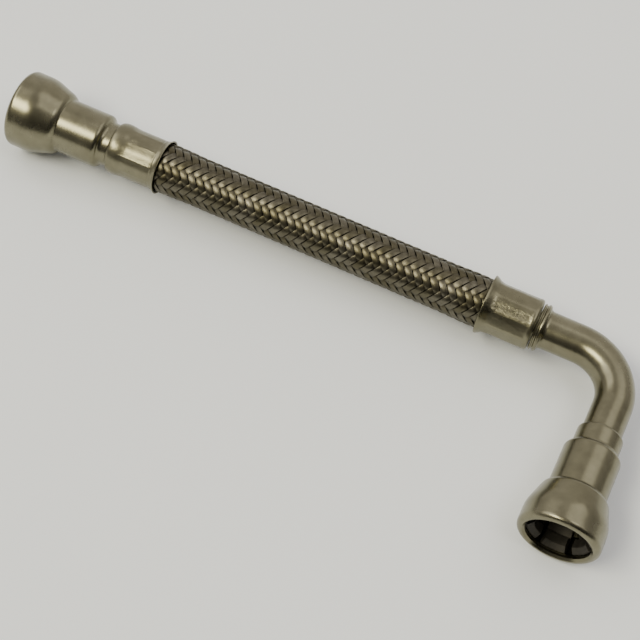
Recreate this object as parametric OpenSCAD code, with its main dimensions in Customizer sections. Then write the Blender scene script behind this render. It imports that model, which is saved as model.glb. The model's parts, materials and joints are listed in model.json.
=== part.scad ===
// Short metal-braided supply line with two push-on couplers.
// The hose lies along +X. The origin is the centre of the straight coupler's mouth,
// and the elbow at the other end turns its own mouth towards -Y. +Z is up.

/* [Bent tube] */
// Outer diameter of the bent tube
tube_od = 12.7; // [12:0.1:13]
// Wall thickness of the bent tube
tube_wall = 1.65; // [1:0.05:2.5]
// Centre-line radius of the bend
bend_r = 17.3; // [15:0.1:30]
// Straight run from the stem collar to the start of the bend
tube_run = 12.2; // [8:0.1:40]
// Distance from the end of the bend to the elbow coupler's mouth
elbow_leg = 50.1; // [45:0.1:90]

/* [Couplers] */
// Largest outer radius of the bell
bell_r = 13.3; // [13.2:0.1:14]
// Inner radius of the mouth
mouth_r = 10.5; // [10.3:0.1:10.6]
// Outer radius of the barrel behind the bell
barrel_r = 9.25; // [9:0.05:9.35]
// Distance from the mouth to the end of the barrel
barrel_end = 30.8; // [30:0.1:34]
// Outer radius of the neck
neck_r = 7.45; // [7.2:0.05:7.8]
// Radius of the land that guides the nose of the mating nipple
guide_r = 6.42; // [6.2:0.01:6.6]
// Radius of the groove that holds the O-rings
gland_r = 8.1; // [7.9:0.05:8.2]

/* [Collets] */
// Number of spring fingers
fingers = 6; // [4:1:8]
// Angle of the slot between two fingers
finger_slot = 15; // [10:1:20]
// Inner radius of the jaws
jaw_r = 8.3; // [8.1:0.1:8.8]
// Depth of the jaws' front face below the mouth
jaw_depth = 1.9; // [1.8:0.1:2.4]

/* [Hose] */
// Outer radius of the wire braid
hose_r = 8.35; // [8.2:0.05:8.6]
// Bore radius of the inner tube
hose_bore_r = 5.2; // [5:0.05:5.4]
// Length of hose that shows between the two ferrules
free_hose = 116.8; // [102:0.1:400]

/* [Ferrules] */
// Length of the straight end's ferrule
ferrule_len = 19; // [17:0.1:26]
// Length of the elbow end's ferrule
elbow_ferrule_len = 17.7; // [16:0.1:26]
// Depth to which the crimp presses each flat into the sleeve
crimp_depth = 0.22; // [0.16:0.02:0.3]
// Number of crimped flats
crimps = 10; // [8:1:12]
// Radius of the straight ferrule's flared lip
flare_r = 9.5; // [9.2:0.05:10]
// Radius of the elbow ferrule's flared lip
elbow_flare_r = 10; // [9.2:0.05:10.2]

/* [Hidden] */
$fn = 96;

steel = [0.48, 0.44, 0.36];
dark_steel = [0.33, 0.31, 0.27];
braid_steel = [0.42, 0.39, 0.32];
rubber = [0.08, 0.08, 0.08];
white_plastic = [0.86, 0.85, 0.8];
textile = [0.2, 0.19, 0.17];

tube_r = tube_od / 2;
tube_bore_r = tube_r - tube_wall;

// Bell: a round crown, a straight taper, a round shoulder and a small fillet onto the barrel
rim_round = 1.8;
crown_at = 6.1;
crown_round = 12;
taper = 18;
shoulder_round = 3.4;
shoulder_at = 15;
shoulder_dip = 60;
taper_at = crown_at + crown_round * sin(taper);
taper_r = bell_r - crown_round * (1 - cos(taper));
shoulder_r = taper_r - (shoulder_at - taper_at) * tan(taper);
shoulder_mid = [shoulder_r, shoulder_at] - shoulder_round * [cos(taper), sin(taper)];
shoulder_end_r = shoulder_mid[0] + shoulder_round * cos(shoulder_dip);
fillet_round = (shoulder_end_r - barrel_r) / (1 - cos(shoulder_dip));
fillet_mid = shoulder_mid + (shoulder_round + fillet_round) * [cos(shoulder_dip), sin(shoulder_dip)];

// Steps in the outside diameter are S-curves of two equal arcs
step_len = 3;
neck_end = 38.6;
straight_neck_end = 38.9;
neck_round = 1;

// Inside of the bell
lip_cone_at = 1.85;
cavity_r = 11.7;
cavity_taper_at = 8.9;
cavity_floor_r = 10.2;
cavity_floor_at = 13.4;
floor_at = 14.3;
lead_in_r = 7.6;
guide_at = 15.4;
gland_at = 19;
gland_end = 27;
nose_end = 31;
flow_r = 4;
stem_socket_at = 33;
tube_socket_at = 35.6;

// Collet
finger_t = 1;
finger_r = 11.2;
jaw_front_r = 10.3;
jaw_lead = 1.4;
jaw_len = 4.4;
finger_taper_at = 7.5;
collet_end = 13;
collet_base_len = 1.4;
collet_base_r = 9.7;
collet_bore_r = 8.6;

// Seals
oring_t = 2.3;
spacer_len = 1.8;
seal_gap = 0.25;

// Stations along the hose
ferrule_at = 35.8;
hose_start = 39.2;
braid_start = ferrule_at + ferrule_len;
braid_end = braid_start + free_hose;
elbow_ferrule_end = braid_end + elbow_ferrule_len;
hose_end = elbow_ferrule_end - 2.3;
collar_at = elbow_ferrule_end + 0.4;
collar_len = 2.5;
collar_end = collar_at + collar_len;
bend_at = collar_end + tube_run;
elbow_x = bend_at + bend_r;
elbow_y = -bend_r - elbow_leg;

// Hose layers, squeezed thinner under the crimps
squeeze_r = 7.55;
squeeze_len = 2.6;
textile_share = 0.55;
braid_share = 0.76;

// Hose stem
stem_r = 5.2;
stem_root_r = 4.85;
stem_bore_r = 3.9;
barb_pitch = 2.6;
ferrule_bore_r = 7.55;
ferrule_lip_t = 0.8;
collar_r = 8;
collar_groove = 0.35;
tube_overlap = 1.8;
braze_len = 1.4;

// Points on an arc in the (radius, distance) half-plane, from angle a0 to a1
function arc(c, r, a0, a1, n = 10) =
    [for (i = [0:n]) c + r * [cos(a0 + (a1 - a0) * i / n), sin(a0 + (a1 - a0) * i / n)]];

// An S-curve from p to q of two equal arcs that leave and arrive along the axis
function s_curve(p, q, n = 6) =
    let(drop = abs(q[0] - p[0]), run = abs(q[1] - p[1]), bend = 2 * atan(drop / run),
        r = run / 2 / sin(bend), way = sign(q[1] - p[1]), side = sign(p[0] - q[0]))
    concat(
        [for (i = [0:n]) p + r * [-side * (1 - cos(bend * i / n)), way * sin(bend * i / n)]],
        [for (i = [n - 1:-1:0]) q + r * [side * (1 - cos(bend * i / n)), -way * sin(bend * i / n)]]);

// Turns a solid of revolution about Z so that its axis lies along +X
module along_x(at = 0) {
    translate([at, 0, 0]) rotate([0, 90, 0]) children();
}

// Puts a part of the straight coupler on the elbow's mouth
module at_elbow() {
    translate([elbow_x, elbow_y, 0]) rotate([0, 0, 90]) children();
}

function bell_outside() = concat(
    arc([bell_r - rim_round, rim_round], rim_round, -90, 0),
    arc([bell_r - crown_round, crown_at], crown_round, 0, taper, 6),
    arc(shoulder_mid, shoulder_round, taper, shoulder_dip, 8),
    arc(fillet_mid, fillet_round, shoulder_dip - 180, -180, 5));

// Inside of the socket, from the rear socket of radius r that runs from z0 to z1, to the mouth
function socket_inside(r, z0, z1) = [
    [r, z1], [r, z0], [flow_r, z0], [flow_r, nose_end],
    [guide_r, nose_end], [guide_r, gland_end], [gland_r, gland_end], [gland_r, gland_at],
    [guide_r, gland_at], [guide_r, guide_at], [lead_in_r, floor_at], [cavity_floor_r, floor_at],
    [cavity_floor_r, cavity_floor_at], [cavity_r, cavity_taper_at],
    [cavity_r, lip_cone_at + cavity_r - mouth_r], [mouth_r, lip_cone_at], [mouth_r, 0.7],
    [mouth_r + 0.7, 0]];

// Push-on socket: bell, barrel and neck turned from one bar, for a tail piece of radius r
module coupler_body(neck, r, socket_start) {
    last = neck[len(neck) - 1];
    color(steel) along_x() rotate_extrude()
        polygon(concat(
            bell_outside(),
            s_curve([barrel_r, barrel_end], [neck_r, barrel_end + step_len]),
            neck,
            socket_inside(r, socket_start, last[1])));
}

module straight_coupler_body() {
    coupler_body([[neck_r, straight_neck_end]], stem_r, stem_socket_at);
}

module elbow_coupler_body() {
    at_elbow() coupler_body(arc([neck_r - neck_round, neck_end], neck_round, 0, 90, 5),
        tube_r, tube_socket_at);
}

// Spring collet: a base ring with fingers whose jaws point inwards
module collet() {
    front = jaw_depth;
    chamfer = finger_r - jaw_front_r;
    base_at = collet_end - collet_base_len;
    color(dark_steel) difference() {
        along_x() rotate_extrude() polygon([
            [jaw_r + jaw_lead, front], [jaw_front_r, front], [finger_r, front + chamfer],
            [finger_r, finger_taper_at], [collet_base_r, base_at], [collet_base_r, collet_end],
            [collet_bore_r, collet_end], [collet_bore_r, base_at],
            [finger_r - finger_t, finger_taper_at], [finger_r - finger_t, front + jaw_len + 0.6],
            [jaw_r, front + jaw_len], [jaw_r, front + jaw_lead]]);
        for (i = [0:fingers - 1]) rotate([(i + 0.5) * 360 / fingers, 0, 0]) finger_gap(base_at);
    }
}

// Wedge of empty space between two fingers, open towards -Z
module finger_gap(depth) {
    reach = 2 * finger_r;
    half = reach * tan(finger_slot / 2);
    rotate([0, 90, 0]) linear_extrude(depth) polygon([[0, 0], [reach, -half], [reach, half]]);
}

module straight_collet() {
    collet();
}

module elbow_collet() {
    at_elbow() collet();
}

// O-ring lying in the gland, its outside against the groove wall
module oring(at) {
    color(rubber) along_x(at) rotate_extrude()
        translate([gland_r - oring_t / 2 - 0.03, 0]) circle(d = oring_t);
}

front_oring_at = gland_at + seal_gap + oring_t / 2;
spacer_at = front_oring_at + oring_t / 2 + seal_gap;
rear_oring_at = spacer_at + spacer_len + seal_gap + oring_t / 2;

module spacer_ring() {
    color(white_plastic) along_x(spacer_at) difference() {
        cylinder(r = gland_r - 0.05, h = spacer_len);
        translate([0, 0, -1]) cylinder(r = guide_r + 0.03, h = spacer_len + 2);
    }
}

module straight_front_oring() {
    oring(front_oring_at);
}

module straight_spacer_ring() {
    spacer_ring();
}

module straight_rear_oring() {
    oring(rear_oring_at);
}

module elbow_front_oring() {
    at_elbow() oring(front_oring_at);
}

module elbow_spacer_ring() {
    at_elbow() spacer_ring();
}

module elbow_rear_oring() {
    at_elbow() oring(rear_oring_at);
}

// Outline of a barbed hose tail with its tip at z, running back to the station root:
// a chamfered tip, then saw-tooth barbs that let the hose on and not off
function tail_outline(z, root) =
    let(way = sign(root - z), n = floor((abs(root - z) - 0.8) / barb_pitch))
    concat(
        [[stem_bore_r, z], [stem_root_r - 0.4, z], [stem_root_r, z + 0.4 * way]],
        [for (i = [0:n - 1], p = [[stem_root_r, 0], [stem_r, 0.85], [stem_r, 1]])
            [p[0], z + way * (0.5 + barb_pitch * (i + p[1]))]],
        [[stem_r, root]]);

// Straight hose stem: its root is pressed into the coupler's neck
module straight_stem() {
    color(steel) along_x() rotate_extrude() polygon(concat(
        tail_outline(braid_start - 2, hose_start + 0.2),
        [[stem_r, stem_socket_at], [stem_bore_r, stem_socket_at]]));
}

// Elbow hose stem: its root carries a collar of two thin rings, with a socket for the tube
module elbow_stem() {
    ring_r = collar_r - 0.5;
    groove_at = collar_at + 0.8;
    tube_stop = collar_end - tube_overlap;
    color(steel) along_x() rotate_extrude() polygon(concat(
        tail_outline(braid_end + 2, hose_end - 0.2),
        [[stem_r, collar_at], [ring_r, collar_at]],
        arc([collar_r - 0.4, collar_at + 0.4], 0.3, -90, 60, 4),
        [[ring_r, groove_at], [ring_r, groove_at + collar_groove]],
        arc([ring_r, groove_at + collar_groove + 0.6], 0.5, -60, 60, 4),
        [[ring_r, collar_end], [tube_r, collar_end], [tube_r, tube_stop],
         [stem_bore_r, tube_stop]]));
}

// Concave fillet of braze between a shoulder and the tube
module braze(at, r_big, r_small, len) {
    color(steel) along_x(at) rotate_extrude() polygon(concat(
        [[r_small, 0], [r_big, 0]],
        [for (i = [1:6]) let(a = 90 * i / 7)
            [r_small + 0.02 + (r_big - r_small) * (1 - sin(a)), len * (1 - cos(a))]],
        [[r_small + 0.02, len], [r_small, len]]));
}

module elbow_stem_braze() {
    braze(collar_end, collar_r - 0.7, tube_r, braze_len);
}

module elbow_coupler_braze() {
    at_elbow() braze(neck_end + neck_round, neck_r - neck_round, tube_r, braze_len);
}

module tube_ring() {
    difference() {
        circle(r = tube_r);
        circle(r = tube_bore_r);
    }
}

// Bent tube from the stem collar round the bend into the coupler's neck
module elbow_tube() {
    leg = elbow_leg - tube_socket_at;
    color(steel) {
        along_x(collar_end - tube_overlap) linear_extrude(tube_run + tube_overlap) tube_ring();
        translate([bend_at, -bend_r, 0]) rotate_extrude(angle = 90)
            translate([bend_r, 0]) tube_ring();
        translate([elbow_x, -bend_r, 0]) rotate([90, 0, 0]) linear_extrude(leg) tube_ring();
    }
}

// Outside radius of a hose layer at share s of the wall
function layer_free(s) = hose_bore_r + s * (hose_r - hose_bore_r);
function layer_tight(s) = hose_bore_r + s * (squeeze_r - hose_bore_r);

// One layer of the hose wall, from share s0 to s1, squeezed inside both ferrules
module hose_layer(s0, s1) {
    tight0 = braid_start - squeeze_len;
    tight1 = braid_end + squeeze_len;
    along_x() rotate_extrude() polygon(concat(
        [[layer_tight(s0), hose_start], [layer_tight(s1), hose_start]],
        s_curve([layer_tight(s1), tight0], [layer_free(s1), braid_start + 0.4]),
        s_curve([layer_free(s1), braid_end - 0.4], [layer_tight(s1), tight1]),
        [[layer_tight(s1), hose_end], [layer_tight(s0), hose_end]],
        s0 == 0 ? [] : s_curve([layer_tight(s0), tight1], [layer_free(s0), braid_end - 0.4]),
        s0 == 0 ? [] : s_curve([layer_free(s0), braid_start + 0.4], [layer_tight(s0), tight0])));
}

module hose_liner() {
    color(rubber) hose_layer(0, textile_share);
}

module hose_textile_ply() {
    color(textile) hose_layer(textile_share, braid_share);
}

module hose_wire_braid() {
    color(braid_steel) hose_layer(braid_share, 1);
}

// Flats pressed round a sleeve of radius r between two stations, with a ridge at angle turn
module crimped(from, to, r, turn) {
    difference() {
        children();
        along_x(from) linear_extrude(to - from) difference() {
            circle(r = elbow_flare_r + 1);
            rotate(turn) circle(r = (r - crimp_depth) / cos(180 / crimps), $fn = crimps);
        }
    }
}

// Straight ferrule: round nose, shoulder bump, crimped sleeve and flared lip
module straight_ferrule() {
    bump_at = ferrule_at + 3.1;
    bump_r = 8.95;
    sleeve_r = 8.62;
    ridge_turn = 11.5;
    nose_len = bump_at - ferrule_at;
    flare_at = braid_start - 2.2;
    color(steel) crimped(bump_at + 2.4, flare_at - 0.2, sleeve_r, ridge_turn)
        along_x() rotate_extrude() polygon(concat(
            [[neck_r, ferrule_at]],
            [for (i = [0:8]) let(a = 90 * i / 8)
                [neck_r + 0.25 + (bump_r - neck_r - 0.25) * sin(a),
                 ferrule_at + nose_len * (1 - cos(a))]],
            s_curve([bump_r, bump_at + 0.2], [sleeve_r, bump_at + 2.2], 4),
            [[sleeve_r, flare_at], [flare_r, braid_start - 0.3], [flare_r, braid_start],
             [flare_r - ferrule_lip_t, braid_start]],
            s_curve([hose_r + 0.12, braid_start - 0.1],
                [ferrule_bore_r, braid_start - squeeze_len - 0.4], 4),
            [[ferrule_bore_r, hose_start - 0.1], [neck_r, hose_start - 0.1]]));
}

// Elbow ferrule: flared lip with a short band, crimped sleeve and a round back
module elbow_ferrule() {
    band = 1.1;
    sleeve_r = 8.64;
    ridge_turn = 3.7;
    back_round = 1.2;
    sleeve_at = braid_end + 4.2;
    back_at = elbow_ferrule_end - back_round;
    color(steel) crimped(sleeve_at, back_at - 1.2, sleeve_r, ridge_turn)
        along_x() rotate_extrude() polygon(concat(
            [[elbow_flare_r - ferrule_lip_t, braid_end]],
            [[elbow_flare_r - 0.1, braid_end], [elbow_flare_r, braid_end + 0.1]],
            s_curve([elbow_flare_r, braid_end + band], [sleeve_r, sleeve_at], 5),
            arc([sleeve_r - back_round, back_at], back_round, 0, 75, 8),
            [[sleeve_r - back_round, elbow_ferrule_end], [stem_r, elbow_ferrule_end],
             [stem_r, hose_end + 0.1], [ferrule_bore_r, hose_end + 0.1]],
            s_curve([ferrule_bore_r, braid_end + squeeze_len + 0.4],
                [hose_r + 0.12, braid_end + 0.1], 4)));
}

straight_coupler_body();
straight_collet();
straight_front_oring();
straight_spacer_ring();
straight_rear_oring();
straight_stem();
straight_ferrule();
hose_liner();
hose_textile_ply();
hose_wire_braid();
elbow_ferrule();
elbow_stem();
elbow_stem_braze();
elbow_tube();
elbow_coupler_braze();
elbow_coupler_body();
elbow_collet();
elbow_front_oring();
elbow_spacer_ring();
elbow_rear_oring();
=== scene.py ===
"""Looks for the braided supply line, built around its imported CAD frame.

Lengths are in metres in the row frame: the hose lies along +X from the straight coupler's mouth
at the origin, the elbow's mouth opens towards -Y, and +Z is up.
"""

import math
import random

import bpy
import numpy as np
from mathutils import Matrix, Vector
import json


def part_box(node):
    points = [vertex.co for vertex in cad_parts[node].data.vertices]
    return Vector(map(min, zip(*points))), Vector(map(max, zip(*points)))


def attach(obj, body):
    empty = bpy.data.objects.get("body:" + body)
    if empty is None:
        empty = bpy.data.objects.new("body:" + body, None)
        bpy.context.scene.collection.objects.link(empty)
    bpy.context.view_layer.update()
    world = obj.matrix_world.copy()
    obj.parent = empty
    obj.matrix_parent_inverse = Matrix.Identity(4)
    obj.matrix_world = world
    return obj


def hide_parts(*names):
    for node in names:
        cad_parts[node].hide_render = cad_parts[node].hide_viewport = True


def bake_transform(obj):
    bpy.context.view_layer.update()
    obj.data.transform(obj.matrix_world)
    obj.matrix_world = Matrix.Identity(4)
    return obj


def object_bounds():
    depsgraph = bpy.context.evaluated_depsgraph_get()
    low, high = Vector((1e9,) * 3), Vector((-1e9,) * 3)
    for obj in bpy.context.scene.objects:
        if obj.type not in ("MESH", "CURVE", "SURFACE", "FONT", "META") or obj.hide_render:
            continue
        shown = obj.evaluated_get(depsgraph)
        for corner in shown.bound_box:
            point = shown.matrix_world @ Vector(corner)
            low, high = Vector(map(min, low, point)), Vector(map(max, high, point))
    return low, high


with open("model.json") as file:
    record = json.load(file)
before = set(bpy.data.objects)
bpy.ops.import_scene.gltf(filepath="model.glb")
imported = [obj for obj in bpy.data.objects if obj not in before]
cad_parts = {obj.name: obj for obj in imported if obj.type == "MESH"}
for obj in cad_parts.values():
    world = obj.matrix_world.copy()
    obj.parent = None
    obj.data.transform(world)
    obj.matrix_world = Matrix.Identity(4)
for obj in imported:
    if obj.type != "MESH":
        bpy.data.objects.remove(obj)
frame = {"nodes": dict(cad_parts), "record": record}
cad_lo, cad_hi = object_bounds()

MM = 0.001
TAU = 2 * math.pi

# ---------------------------------------------------------------- places from the frame

_, braid_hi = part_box("hose_wire_braid")
nose_lo, lip_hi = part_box("straight_ferrule")
elbow_lip_lo, back_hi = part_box("elbow_ferrule")
HOSE_R = braid_hi.z
NOSE, BACK = nose_lo.x, back_hi.x
FREE_START, FREE_END = lip_hi.x, elbow_lip_lo.x  # the free hose runs between the flared lips
FLOOR_Z = cad_lo.z

# ---------------------------------------------------------------- camera

AZIMUTH, ELEVATION, ROLL = 18.04, 58.82, 7.97  # degrees
TARGET = Vector((0.1098, 0.0210, -0.0890))
DISTANCE = 0.6
LENS, SENSOR = 87.3, 36.0  # millimetres


def make_camera():
    """Camera at the photograph's view angle, turned a little about its own line of sight."""
    az, el, roll = (math.radians(v) for v in (AZIMUTH, ELEVATION, ROLL))
    back = Vector((math.sin(az) * math.cos(el), -math.cos(az) * math.cos(el), math.sin(el)))
    right = Vector((0, 0, 1)).cross(back).normalized()
    up = back.cross(right)
    x_axis = math.cos(roll) * right + math.sin(roll) * up
    y_axis = math.cos(roll) * up - math.sin(roll) * right
    data = bpy.data.cameras.new("camera")
    data.lens, data.sensor_width = LENS, SENSOR
    data.clip_start, data.clip_end = 0.01, 20
    cam = bpy.data.objects.new("camera", data)
    turn = Matrix((x_axis, y_axis, back)).transposed()
    cam.matrix_world = Matrix.Translation(TARGET + back * DISTANCE) @ turn.to_4x4()
    bpy.context.scene.collection.objects.link(cam)
    bpy.context.scene.camera = cam


make_camera()

# ---------------------------------------------------------------- node helpers


RANGE_SOCKETS = ("From Min", "From Max", "To Min", "To Max")


class Nodes:
    """A short way to build one material's node tree."""

    def __init__(self, name):
        self.mat = bpy.data.materials.new(name)
        self.mat.use_nodes = True
        self.tree = self.mat.node_tree
        self.tree.nodes.clear()
        self.out = self.add("ShaderNodeOutputMaterial")
        self.shader = self.add("ShaderNodeBsdfPrincipled")
        self.link(self.shader.outputs[0], self.out.inputs["Surface"])

    def add(self, kind, **settings):
        node = self.tree.nodes.new(kind)
        for key, value in settings.items():
            setattr(node, key, value)
        return node

    def link(self, a, b):
        self.tree.links.new(a, b)

    def put(self, node, name, value):
        """Sets a socket to a number or colour, or links it to another node's output."""
        socket = node.inputs[name]
        if isinstance(value, bpy.types.NodeSocket):
            self.link(value, socket)
        else:
            socket.default_value = value

    def object_coords(self, scale=(1, 1, 1)):
        coords = self.add("ShaderNodeTexCoord")
        mapping = self.add("ShaderNodeMapping")
        mapping.inputs["Scale"].default_value = scale
        self.link(coords.outputs["Object"], mapping.inputs["Vector"])
        return mapping.outputs[0]

    def noise(self, coords, scale, detail=4.0, rough=0.55, distortion=0.0):
        node = self.add("ShaderNodeTexNoise")
        self.link(coords, node.inputs["Vector"])
        self.put(node, "Scale", scale)
        self.put(node, "Detail", detail)
        self.put(node, "Roughness", rough)
        self.put(node, "Distortion", distortion)
        return node.outputs["Fac"]

    def ramp(self, fac, stops):
        """Colour ramp; a stop is (position, grey or colour)."""
        node = self.add("ShaderNodeValToRGB")
        self.link(fac, node.inputs["Fac"])
        ramp = node.color_ramp
        while len(ramp.elements) < len(stops):
            ramp.elements.new(0.5)
        for element, (at, value) in zip(ramp.elements, stops):
            element.position = at
            rgb = value if isinstance(value, tuple) else (value, value, value)
            element.color = (*rgb, 1)
        return node.outputs["Color"]

    def remap(self, value, lo, hi, to_lo, to_hi):
        node = self.add("ShaderNodeMapRange")
        self.link(value, node.inputs["Value"])
        for name, number in zip(RANGE_SOCKETS, (lo, hi, to_lo, to_hi)):
            self.put(node, name, number)
        return node.outputs["Result"]

    def mix(self, fac, a, b, mode="MIX"):
        node = self.add("ShaderNodeMix", data_type="RGBA", blend_type=mode)
        self.put(node, 0, fac)
        self.put(node, 6, a)
        self.put(node, 7, b)
        return node.outputs[2]

    def math(self, kind, a, b=0.0):
        node = self.add("ShaderNodeMath", operation=kind)
        self.put(node, 0, a)
        self.put(node, 1, b)
        return node.outputs[0]

    def bump(self, height, strength, distance, normal=None):
        node = self.add("ShaderNodeBump")
        self.put(node, "Strength", strength)
        self.put(node, "Distance", distance)
        self.link(height, node.inputs["Height"])
        if normal is not None:
            self.link(normal, node.inputs["Normal"])
        return node.outputs["Normal"]

    def attribute(self, name):
        return self.add("ShaderNodeAttribute", attribute_name=name).outputs["Fac"]

    def finish(self, **values):
        """Sets the shader's sockets by name, with _ for a space, and returns the material."""
        for name, value in values.items():
            self.put(self.shader, name.replace("_", " "), value)
        return self.mat


# ---------------------------------------------------------------- materials


METAL_DARK, METAL_LIGHT = (0.183, 0.170, 0.112), (0.222, 0.209, 0.144)
# Dark colour for small nicks on plated steel, and for the painted shade on the braid.
NICK_AND_SHADE_DARK = (0.020, 0.017, 0.012, 1)


def plated_steel(name, scratches=0.5, scuffs=0.0, rough=0.24):
    """Satin plated steel with a warm tint: faint mottling, fine scratches and small nicks.

    A mesh may carry a "scuff" attribute that marks where the surface is rubbed and dented.
    """
    n = Nodes(name)
    coords = n.object_coords()
    cloud = n.noise(coords, 60, 4, 0.6)
    mottle = n.noise(coords, 240, 3)
    grain = n.noise(coords, 2600, 3, 0.6)
    nicks = n.noise(coords, 900, 2, 0.5, 1.5)
    tint = n.ramp(cloud, [(0.30, METAL_DARK), (0.70, METAL_LIGHT)])
    stain = n.ramp(mottle, [(0.35, 0.88), (0.65, 1.0)])
    colour = n.mix(1.0, tint, stain, "MULTIPLY")
    dent = n.ramp(nicks, [(0.68, 0.0), (0.74, 1.0)])
    colour = n.mix(n.math("MULTIPLY", dent, 0.30 * scratches), colour, NICK_AND_SHADE_DARK)
    gloss = n.remap(cloud, 0.3, 0.7, rough - 0.03, rough + 0.05)
    height = n.math("ADD", n.math("MULTIPLY", grain, 0.5), n.math("MULTIPLY", dent, -0.5 * scratches))
    normal = n.bump(height, 0.2, 0.00005)
    if scuffs:
        rub = n.noise(n.object_coords((0.55, 1, 1)), 900, 4, 0.65, 0.6)
        rubbed = n.math("MULTIPLY", n.ramp(rub, [(0.42, 0.0), (0.60, 1.0)]), n.attribute("scuff"))
        normal = n.bump(rubbed, scuffs, 0.00022, normal)
        gloss = n.math("ADD", gloss, n.math("MULTIPLY", rubbed, 0.08))
    return n.finish(Base_Color=colour, Metallic=1.0, Roughness=gloss, Normal=normal)


def spring_steel():
    """Dark oiled spring steel of the collets."""
    n = Nodes("spring_steel")
    coords = n.object_coords()
    cloud = n.noise(coords, 300, 4, 0.6)
    grain = n.noise(coords, 2200, 2)
    colour = n.ramp(cloud, [(0.3, (0.034, 0.031, 0.026)), (0.7, (0.058, 0.053, 0.044))])
    return n.finish(
        Base_Color=colour, Metallic=0.7, Roughness=n.remap(cloud, 0.3, 0.7, 0.50, 0.62),
        Normal=n.bump(grain, 0.2, 0.00005))


def soft_material(name, dark, light, rough, scale):
    """Rubber, plastic or yarn that is mostly hidden: a mottled colour with a fine grain."""
    n = Nodes(name)
    coords = n.object_coords()
    cloud = n.noise(coords, scale, 4, 0.6)
    grain = n.noise(coords, scale * 8, 2)
    colour = n.ramp(cloud, [(0.3, dark), (0.7, light)])
    return n.finish(
        Base_Color=colour, Roughness=n.remap(cloud, 0.3, 0.7, rough - 0.06, rough + 0.06),
        Normal=n.bump(grain, 0.3, 0.00008))


def braid_wire():
    """Wire ribbons: each strand has its own tint, with painted shade between wires and where strands dive.
    """
    n = Nodes("braid_wire")
    coords = n.object_coords()
    cloud = n.noise(coords, 700, 4, 0.65)
    grain = n.noise(coords, 3200, 2)
    tint = n.ramp(n.attribute("strand_tint"), [(0.0, (0.150, 0.135, 0.084)), (1.0, (0.230, 0.213, 0.162))])
    stain = n.ramp(cloud, [(0.32, 0.68), (0.66, 1.0)])
    colour = n.mix(1.0, tint, stain, "MULTIPLY")
    # Painted shade: the valleys between wires, the strand edges and the stretches where a strand dives
    # under are darkened.
    colour = n.mix(n.math("MULTIPLY", n.attribute("painted_shade"), 0.8), colour, NICK_AND_SHADE_DARK)
    return n.finish(
        Base_Color=colour, Metallic=1.0, Roughness=n.remap(cloud, 0.3, 0.7, 0.27, 0.42),
        Normal=n.bump(grain, 0.2, 0.00004))


STEEL = plated_steel("plated_steel")
CRIMPED = plated_steel("crimped_steel", scratches=0.8, scuffs=0.8, rough=0.28)
SPRING = spring_steel()
BRAID = braid_wire()
SEAL = soft_material("seal_rubber", (0.010, 0.010, 0.010), (0.024, 0.023, 0.022), 0.42, 400)
LINER = soft_material("hose_rubber", (0.014, 0.014, 0.014), (0.030, 0.029, 0.028), 0.6, 500)
PLY = soft_material("ply_textile", (0.012, 0.010, 0.008), (0.030, 0.027, 0.021), 0.85, 900)
SPACER = soft_material("spacer_plastic", (0.70, 0.69, 0.64), (0.80, 0.79, 0.75), 0.45, 200)

BY_SLOT = {
    "plated_steel": STEEL,
    "crimped_steel": CRIMPED,
    "braid_wire": BRAID,
    "spring_steel": SPRING,
    "seal_rubber": SEAL,
    "hose_rubber": LINER,
    "ply_textile": PLY,
    "spacer_plastic": SPACER,
}


def paint_cad_nodes():
    """Every carried-over CAD node takes the procedural material of its slot."""
    for part in frame["record"]["subparts"]:
        for holder in frame["nodes"][part["node"]].material_slots:
            holder.material = BY_SLOT[part["material_slot"]]


paint_cad_nodes()

# ---------------------------------------------------------------- mesh helpers


def mesh_object(name, verts, faces, material):
    """A new object from arrays of points (metres) and quads."""
    mesh = bpy.data.meshes.new(name)
    verts = np.asarray(verts, np.float32)
    faces = np.asarray(faces, np.int32)
    mesh.vertices.add(len(verts))
    mesh.vertices.foreach_set("co", verts.ravel())
    mesh.loops.add(faces.size)
    mesh.loops.foreach_set("vertex_index", faces.ravel())
    mesh.polygons.add(len(faces))
    mesh.polygons.foreach_set("loop_start", np.arange(len(faces), dtype=np.int32) * faces.shape[1])
    mesh.update(calc_edges=True)
    mesh.validate()
    mesh.polygons.foreach_set("use_smooth", [True] * len(mesh.polygons))
    mesh.materials.append(material)
    obj = bpy.data.objects.new(name, mesh)
    bpy.context.scene.collection.objects.link(obj)
    return obj


def revolve(name, outline, material, steps=192, shape=None):
    """A closed outline of (x, radius) points turned about the X axis.

    shape(x, radius, angle), where given, moves the radius at each point.
    """
    outline = np.asarray(outline, float)
    angle = np.arange(steps) * TAU / steps
    x = np.repeat(outline[:, 0][:, None], steps, 1)
    radius = np.repeat(outline[:, 1][:, None], steps, 1)
    turn = np.repeat(angle[None, :], len(outline), 0)
    if shape is not None:
        radius = shape(x, radius, turn)
    verts = np.stack([x, radius * np.cos(turn), radius * np.sin(turn)], -1).reshape(-1, 3)
    i, j = np.meshgrid(np.arange(len(outline)), np.arange(steps), indexing="ij")
    i2, j2 = (i + 1) % len(outline), (j + 1) % steps
    faces = np.stack([i * steps + j, i2 * steps + j, i2 * steps + j2, i * steps + j2], -1)
    return mesh_object(name, verts, faces.reshape(-1, 4), material)


def smoothstep(t):
    t = np.clip(t, 0, 1)
    return t * t * (3 - 2 * t)


# ---------------------------------------------------------------- the ferrules

CRIMPS = 10
LAND_PITCH = TAU / CRIMPS
RIDGE_SPREAD = math.radians(5)
FLASH_HEIGHT = 0.06 * MM
FLASH_SPREAD = 0.15 * MM
OUTSIDE_R = HOSE_R + 0.2 * MM  # a ferrule's surface beyond this radius is its outside


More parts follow.
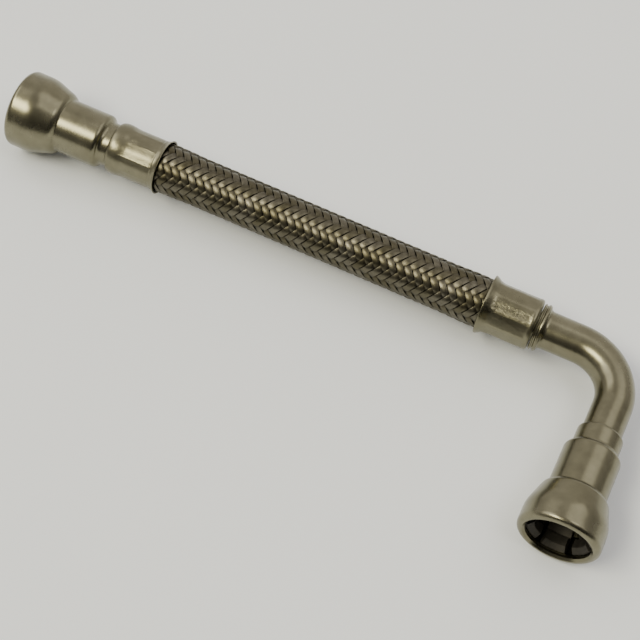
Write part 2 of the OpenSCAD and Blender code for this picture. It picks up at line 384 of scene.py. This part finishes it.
def curve(points, count=10):
    """A smooth line through (x, radius) points, by Catmull-Rom."""
    pts = [points[0]] + list(points) + [points[-1]]
    out = []
    for k in range(1, len(pts) - 2):
        p0, p1, p2, p3 = (np.array(p, float) for p in pts[k - 1:k + 3])
        for i in range(count):
            t = i / count
            out.append(0.5 * (2 * p1 + (p2 - p0) * t + (2 * p0 - 5 * p1 + 4 * p2 - p3) * t ** 2
                              + (3 * p1 - p0 - 3 * p2 + p3) * t ** 3))
    return [tuple(p) for p in out] + [points[-1]]


def crimp_shape(start, end, ridge, depth, flatness, rise, fade, flashes, lumps):
    """Ten lands pressed between stations start and end, with a ridge at angle ridge.

    A land of flatness 1 is flat, and one of 0 is as round as the sleeve. The ridges stand up by
    rise. Each flash is (ridge number, from, to): a thin raised line left by the crimping jaws.
    """
    def shape(x, radius, turn):
        off = (turn - ridge + LAND_PITCH / 2) % LAND_PITCH - LAND_PITCH / 2  # angle from the ridge
        from_middle = LAND_PITCH / 2 - np.abs(off)
        land = (radius - depth) * (1 + flatness * (1 / np.cos(from_middle) - 1))
        flat = np.minimum(radius, land + rise * np.exp(-(off / RIDGE_SPREAD) ** 2))
        amount = smoothstep((x - start) / fade[0]) * smoothstep((end - x) / fade[1])
        outside = radius > OUTSIDE_R
        out = radius + np.where(outside, amount * (flat - radius), 0)
        number = np.round((turn - ridge) / LAND_PITCH) % CRIMPS
        for which, x0, x1 in flashes:
            near = np.exp(-(off * radius / FLASH_SPREAD) ** 2) * (number == which)
            along = smoothstep((x - x0) / MM) * smoothstep((x1 - x) / MM)
            out += np.where(outside, FLASH_HEIGHT * near * along, 0)
        wave = np.sin(turn * 7 + x * 900) * np.sin(turn * 3 - x * 1500 + 1) * np.sin(turn * 11 + x * 400)
        return out + np.where(outside, amount * lumps * wave, 0)
    return shape


def make_ferrule(name, node, body, outline, shape, scuff):
    obj = revolve(name, [(x, r * MM) for x, r in outline], CRIMPED, steps=480, shape=shape)
    co = np.empty(len(obj.data.vertices) * 3, np.float32)
    obj.data.vertices.foreach_get("co", co)
    co = co.reshape(-1, 3)
    data = obj.data.attributes.new("scuff", "FLOAT", "POINT")
    data.data.foreach_set("value", scuff(co[:, 0], np.arctan2(co[:, 2], co[:, 1])).astype(np.float32))
    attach(obj, body)
    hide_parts(node)
    return obj


def make_straight_ferrule():
    def at(mm):
        return NOSE + mm * MM

    mouth = FREE_START
    outer = curve([(at(0), 7.50), (at(0.1), 7.98), (at(0.45), 8.46), (at(1.2), 8.80), (at(2.3), 8.93),
                   (at(3.4), 8.92), (at(4.5), 8.81), (at(5.5), 8.71), (at(6.5), 8.66)])
    sleeve = [(at(6.5 + k), 8.66) for k in range(1, 10)]
    flare = curve([(mouth - 2.9 * MM, 8.66), (mouth - 2.2 * MM, 8.62), (mouth - 1.5 * MM, 8.72),
                   (mouth - 0.8 * MM, 8.98), (mouth - 0.35 * MM, 9.32),
                   (mouth - 0.1 * MM, 9.50), (mouth, 9.42),
                   (mouth - 0.02 * MM, 9.12), (mouth - 0.25 * MM, 8.86), (mouth - 1.1 * MM, 8.62),
                   (mouth - 2.0 * MM, 8.45), (mouth - 3.2 * MM, 7.60)], 6)
    inner = [(mouth - 4 * MM, 7.55), (at(3.3), 7.55), (at(3.3), 7.50)]
    ridge = math.radians(137.5)
    shape = crimp_shape(at(3.9), mouth - 1.9 * MM, ridge, 0.20 * MM, 0, 0.11 * MM, (3.2 * MM, 0.6 * MM),
                        [(0, at(4.2), mouth - 2.2 * MM), (9, at(10.4), mouth - 2.0 * MM)], 0.012 * MM)

    def scuff(x, turn):
        spot = np.exp(-((x - at(7.6)) / (1.6 * MM)) ** 2 - ((turn - math.radians(97)) / 0.10) ** 2)
        return 0.06 + 0.5 * spot

    outline = outer + sleeve + flare + inner
    return make_ferrule("straight_ferrule_skin", "straight_ferrule", "straight_end", outline, shape, scuff)


def make_elbow_ferrule():
    mouth = FREE_END

    def at(mm):
        return mouth + mm * MM

    flare = curve([(at(3.2), 7.60), (at(2.0), 8.45), (at(1.1), 8.75), (at(0.4), 9.15), (at(0.02), 9.55),
                   (at(0.0), 9.85), (at(0.22), 10.0), (at(0.7), 9.86), (at(1.5), 9.42), (at(2.4), 9.00),
                   (at(3.3), 8.78), (at(4.2), 8.70)], 6)
    sleeve = [(at(4.2 + k), 8.70) for k in range(1, 12)]
    back = curve([(BACK - 1.7 * MM, 8.70), (BACK - 1.0 * MM, 8.70), (BACK - 0.45 * MM, 8.58),
                  (BACK - 0.1 * MM, 8.20),
                  (BACK, 7.85), (BACK, 5.2)], 6)
    inner = [(BACK - 2.2 * MM, 5.2), (BACK - 2.2 * MM, 7.55), (at(4), 7.55)]
    ridge = math.radians(129.7)
    shape = crimp_shape(at(1.0), BACK - 1.3 * MM, ridge, 0.22 * MM, 0.75, 0,
                        (2.6 * MM, 0.8 * MM), [], 0.02 * MM)

    def scuff(x, turn):
        along = smoothstep((x - at(2.6)) / (1.5 * MM)) * smoothstep((BACK - 1.2 * MM - x) / (2 * MM))
        strip = np.exp(-((turn - math.radians(117)) / 0.13) ** 2)
        return 0.08 + 0.9 * strip * along

    outline = flare + sleeve + back + inner
    return make_ferrule("elbow_ferrule_skin", "elbow_ferrule", "elbow_end", outline, shape, scuff)


# ---------------------------------------------------------------- the hose

CARRIERS = 12  # strands in each direction
LAY = 36.16 * MM  # length in which a strand goes once round
WIRES = 7
STRAND_W = 2.14 * MM
STRAND_T = 0.24 * MM
WIRE_CROWN = 0.085 * MM
DOME = 0.14 * MM  # a strand's middle stands this far above its edges
LIFT = 0.34 * MM  # a strand's mid-line rises and falls by this as it goes over and under
MID_R = HOSE_R - LIFT - STRAND_T / 2 - WIRE_CROWN
BULGE = 0.25 * MM  # the hose is a little fatter beside each ferrule
HIDDEN = 1.3 * MM  # the strands run this far into each ferrule's mouth
SAMPLES_PER_CROSSING = 5


def hose_growth(x):
    """Change of the hose's radius at x: a bulge beside each ferrule, squeezed in its mouth."""
    inward = np.minimum(x - FREE_START, FREE_END - x)
    swell = smoothstep((inward + 1.4 * MM) / (3.2 * MM))
    bulge = BULGE * swell * (1 - smoothstep((inward - 4 * MM) / (10 * MM)))
    squeeze = 0.9 * MM * smoothstep((0.3 * MM - inward) / (2.9 * MM))
    return bulge - squeeze


def strand_section():
    """Points round a flat strand: across its width, height above its mid-line, and painted shade."""
    half = STRAND_W / 2
    points = []
    for k in range(2 * WIRES + 1):
        v = -half + STRAND_W * k / (2 * WIRES)
        valley = k % 2 == 0
        height = STRAND_T / 2 + (0 if valley else WIRE_CROWN) - DOME * (v / half) ** 2
        # The third value is painted shade: 1 in a valley between wires and at the strand's lower edges, 0
        # on a wire's crown.
        points.append((v, height, 1.0 if valley else 0.0))
    points += [(half, -STRAND_T / 2, 1.0), (-half, -STRAND_T / 2, 1.0)]
    return np.array(points)


def strands(name, hand, rng):
    """All the strands of one hand, woven two over and two under those of the other hand."""
    section = strand_section()
    rate = hand * TAU / LAY
    slope = math.atan2(MID_R * TAU, LAY)
    crossing = LAY / (2 * CARRIERS)
    x0, x1 = FREE_START - HIDDEN, FREE_END + HIDDEN
    x = np.linspace(x0, x1, int((x1 - x0) / crossing * SAMPLES_PER_CROSSING) + 1)
    place = (x - FREE_START) / crossing
    all_verts, all_faces, painted_shade, tint = [], [], [], []
    for k in range(CARRIERS):
        phase = (place + 2 * k - 0.5) if hand > 0 else (2 * k - place - 0.5)
        wave = np.tanh(0.8 * np.cos(TAU * phase / 4) * hand) / math.tanh(0.8)
        lift = LIFT * wave + 0.02 * MM * rng.uniform(-1, 1)
        width = 1 + 0.03 * rng.uniform(-1, 1)
        angle = TAU * k / CARRIERS + rate * (x - FREE_START)
        v = section[:, 0][None, :] * width
        px = x[:, None] - hand * math.sin(slope) * v
        turn = angle[:, None] + math.cos(slope) * v / MID_R
        radius = MID_R + lift[:, None] + section[:, 1][None, :] + hose_growth(px)
        verts = np.stack([px, radius * np.cos(turn), radius * np.sin(turn)], -1)
        rows, cols = verts.shape[:2]
        base = len(all_verts) * rows * cols
        i, j = np.meshgrid(np.arange(rows - 1), np.arange(cols), indexing="ij")
        j2 = (j + 1) % cols
        quads = np.stack([i * cols + j, i * cols + j2, (i + 1) * cols + j2, (i + 1) * cols + j], -1)
        if hand < 0:
            quads = quads[..., ::-1]
        all_verts.append(verts.reshape(-1, 3))
        all_faces.append(quads.reshape(-1, 4) + base)
        # Painted shade where a strand dives under the other hand, and in the valleys between its wires.
        under = smoothstep(0.72 - 0.95 * wave)[:, None]
        painted_shade.append(np.maximum(0.85 * section[:, 2][None, :], under).ravel())
        tint.append(np.full(rows * cols, rng.random()))
    obj = mesh_object(name, np.concatenate(all_verts), np.concatenate(all_faces), BRAID)
    for label, values in (("painted_shade", painted_shade), ("strand_tint", tint)):
        data = obj.data.attributes.new(label, "FLOAT", "POINT")
        data.data.foreach_set("value", np.concatenate(values).astype(np.float32))
    return obj


def layer_tube(name, node, wall, clear, material):
    """A hose layer under the braid: a tube with rings close enough to bend smoothly."""
    lo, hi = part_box(node)
    xs = np.linspace(lo.x + 0.1 * MM, hi.x - 0.1 * MM, 90)
    edge = 2.6 * MM
    tight = np.maximum(smoothstep((FREE_START + 0.4 * MM - xs) / edge),
                       smoothstep((xs - FREE_END + 0.4 * MM) / edge))
    outer = hi.z - clear - (0.75 * MM - clear) * tight
    outline = [*zip(xs, outer), *zip(xs[::-1], outer[::-1] - wall * (1 - 0.35 * tight[::-1]))]
    return revolve(name, outline, material, steps=48)


def bend_with_hose(obj):
    """Bakes a hose layer's world transform into its mesh."""
    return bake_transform(obj)


def make_hose():
    rng = random.Random(7)
    right = strands("braid_right_hand", 1, rng)
    left = strands("braid_left_hand", -1, rng)
    ply = layer_tube("textile_ply", "hose_textile_ply", 0.5 * MM, 0.25 * MM, PLY)
    liner = layer_tube("inner_tube", "hose_liner", 1.5 * MM, 0.15 * MM, LINER)
    for obj in (right, left, ply, liner):
        bend_with_hose(obj)
    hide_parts("hose_wire_braid")
    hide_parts("hose_textile_ply")
    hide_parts("hose_liner")


make_hose()
make_straight_ferrule()
make_elbow_ferrule()

# ---------------------------------------------------------------- floor and light


def make_floor():
    n = Nodes("floor_paper")
    cloud = n.noise(n.object_coords(), 6, 3)
    colour = n.ramp(cloud, [(0.3, (0.88, 0.91, 0.95)), (0.7, (0.90, 0.93, 0.97))])
    mat = n.finish(Base_Color=colour, Roughness=0.9)
    size = 4.0
    verts = [(-size, -size, FLOOR_Z), (size, -size, FLOOR_Z), (size, size, FLOOR_Z), (-size, size, FLOOR_Z)]
    mesh = bpy.data.meshes.new("floor")
    mesh.from_pydata(verts, [], [(0, 1, 2, 3)])
    mesh.materials.append(mat)
    floor = bpy.data.objects.new("floor", mesh)
    bpy.context.scene.collection.objects.link(floor)


def softbox(name, azimuth, elevation, distance, size, radiance, colour):
    """An area light in a direction from the object; azimuth runs from +Y towards +X, in degrees."""
    az, el = math.radians(azimuth), math.radians(elevation)
    way = Vector((math.sin(az) * math.cos(el), math.cos(az) * math.cos(el), math.sin(el)))
    data = bpy.data.lights.new(name, "AREA")
    data.shape = "RECTANGLE"
    data.size, data.size_y = size
    data.energy = radiance * math.pi * size[0] * size[1]
    data.color = colour
    lamp = bpy.data.objects.new(name, data)
    lamp.location = (cad_lo + cad_hi) / 2 + way * distance
    lamp.rotation_euler = (-way).to_track_quat("-Z", "Y").to_euler()
    bpy.context.scene.collection.objects.link(lamp)


def make_studio():
    """Dim room in front and to the right of the object and a lighter wall behind it."""
    world = bpy.data.worlds.new("studio")
    world.use_nodes = True
    tree = world.node_tree
    coords = tree.nodes.new("ShaderNodeTexCoord")
    split = tree.nodes.new("ShaderNodeSeparateXYZ")
    tree.links.new(coords.outputs["Generated"], split.inputs[0])
    total = tree.nodes.new("ShaderNodeMath")
    slopes = (("Y", -1, 1, 0.12, 1.02), ("X", 0, 1, 0, -0.36))
    for k, (axis, lo, hi, at_lo, at_hi) in enumerate(slopes):
        ramp = tree.nodes.new("ShaderNodeMapRange")
        tree.links.new(split.outputs[axis], ramp.inputs["Value"])
        for name, number in zip(RANGE_SOCKETS, (lo, hi, at_lo, at_hi)):
            ramp.inputs[name].default_value = number
        tree.links.new(ramp.outputs["Result"], total.inputs[k])
    background = tree.nodes["Background"]
    background.inputs["Color"].default_value = (1.0, 0.95, 0.88, 1)
    tree.links.new(total.outputs[0], background.inputs["Strength"])
    bpy.context.scene.world = world


def make_light():
    make_studio()
    softbox("key", -136, 53, 4, (2.05, 1.2), 13.5, (1.0, 0.95, 0.72))
    softbox("fill", 58, 60, 4, (4.0, 3.0), 0.95, (1.0, 0.97, 0.92))
    softbox("side", -86, 46, 4, (2.8, 2.4), 1.9, (1.0, 0.97, 0.90))
    softbox("top", 104, 66, 4, (1.3, 1.3), 2.6, (1.0, 0.97, 0.90))


make_floor()
make_light()
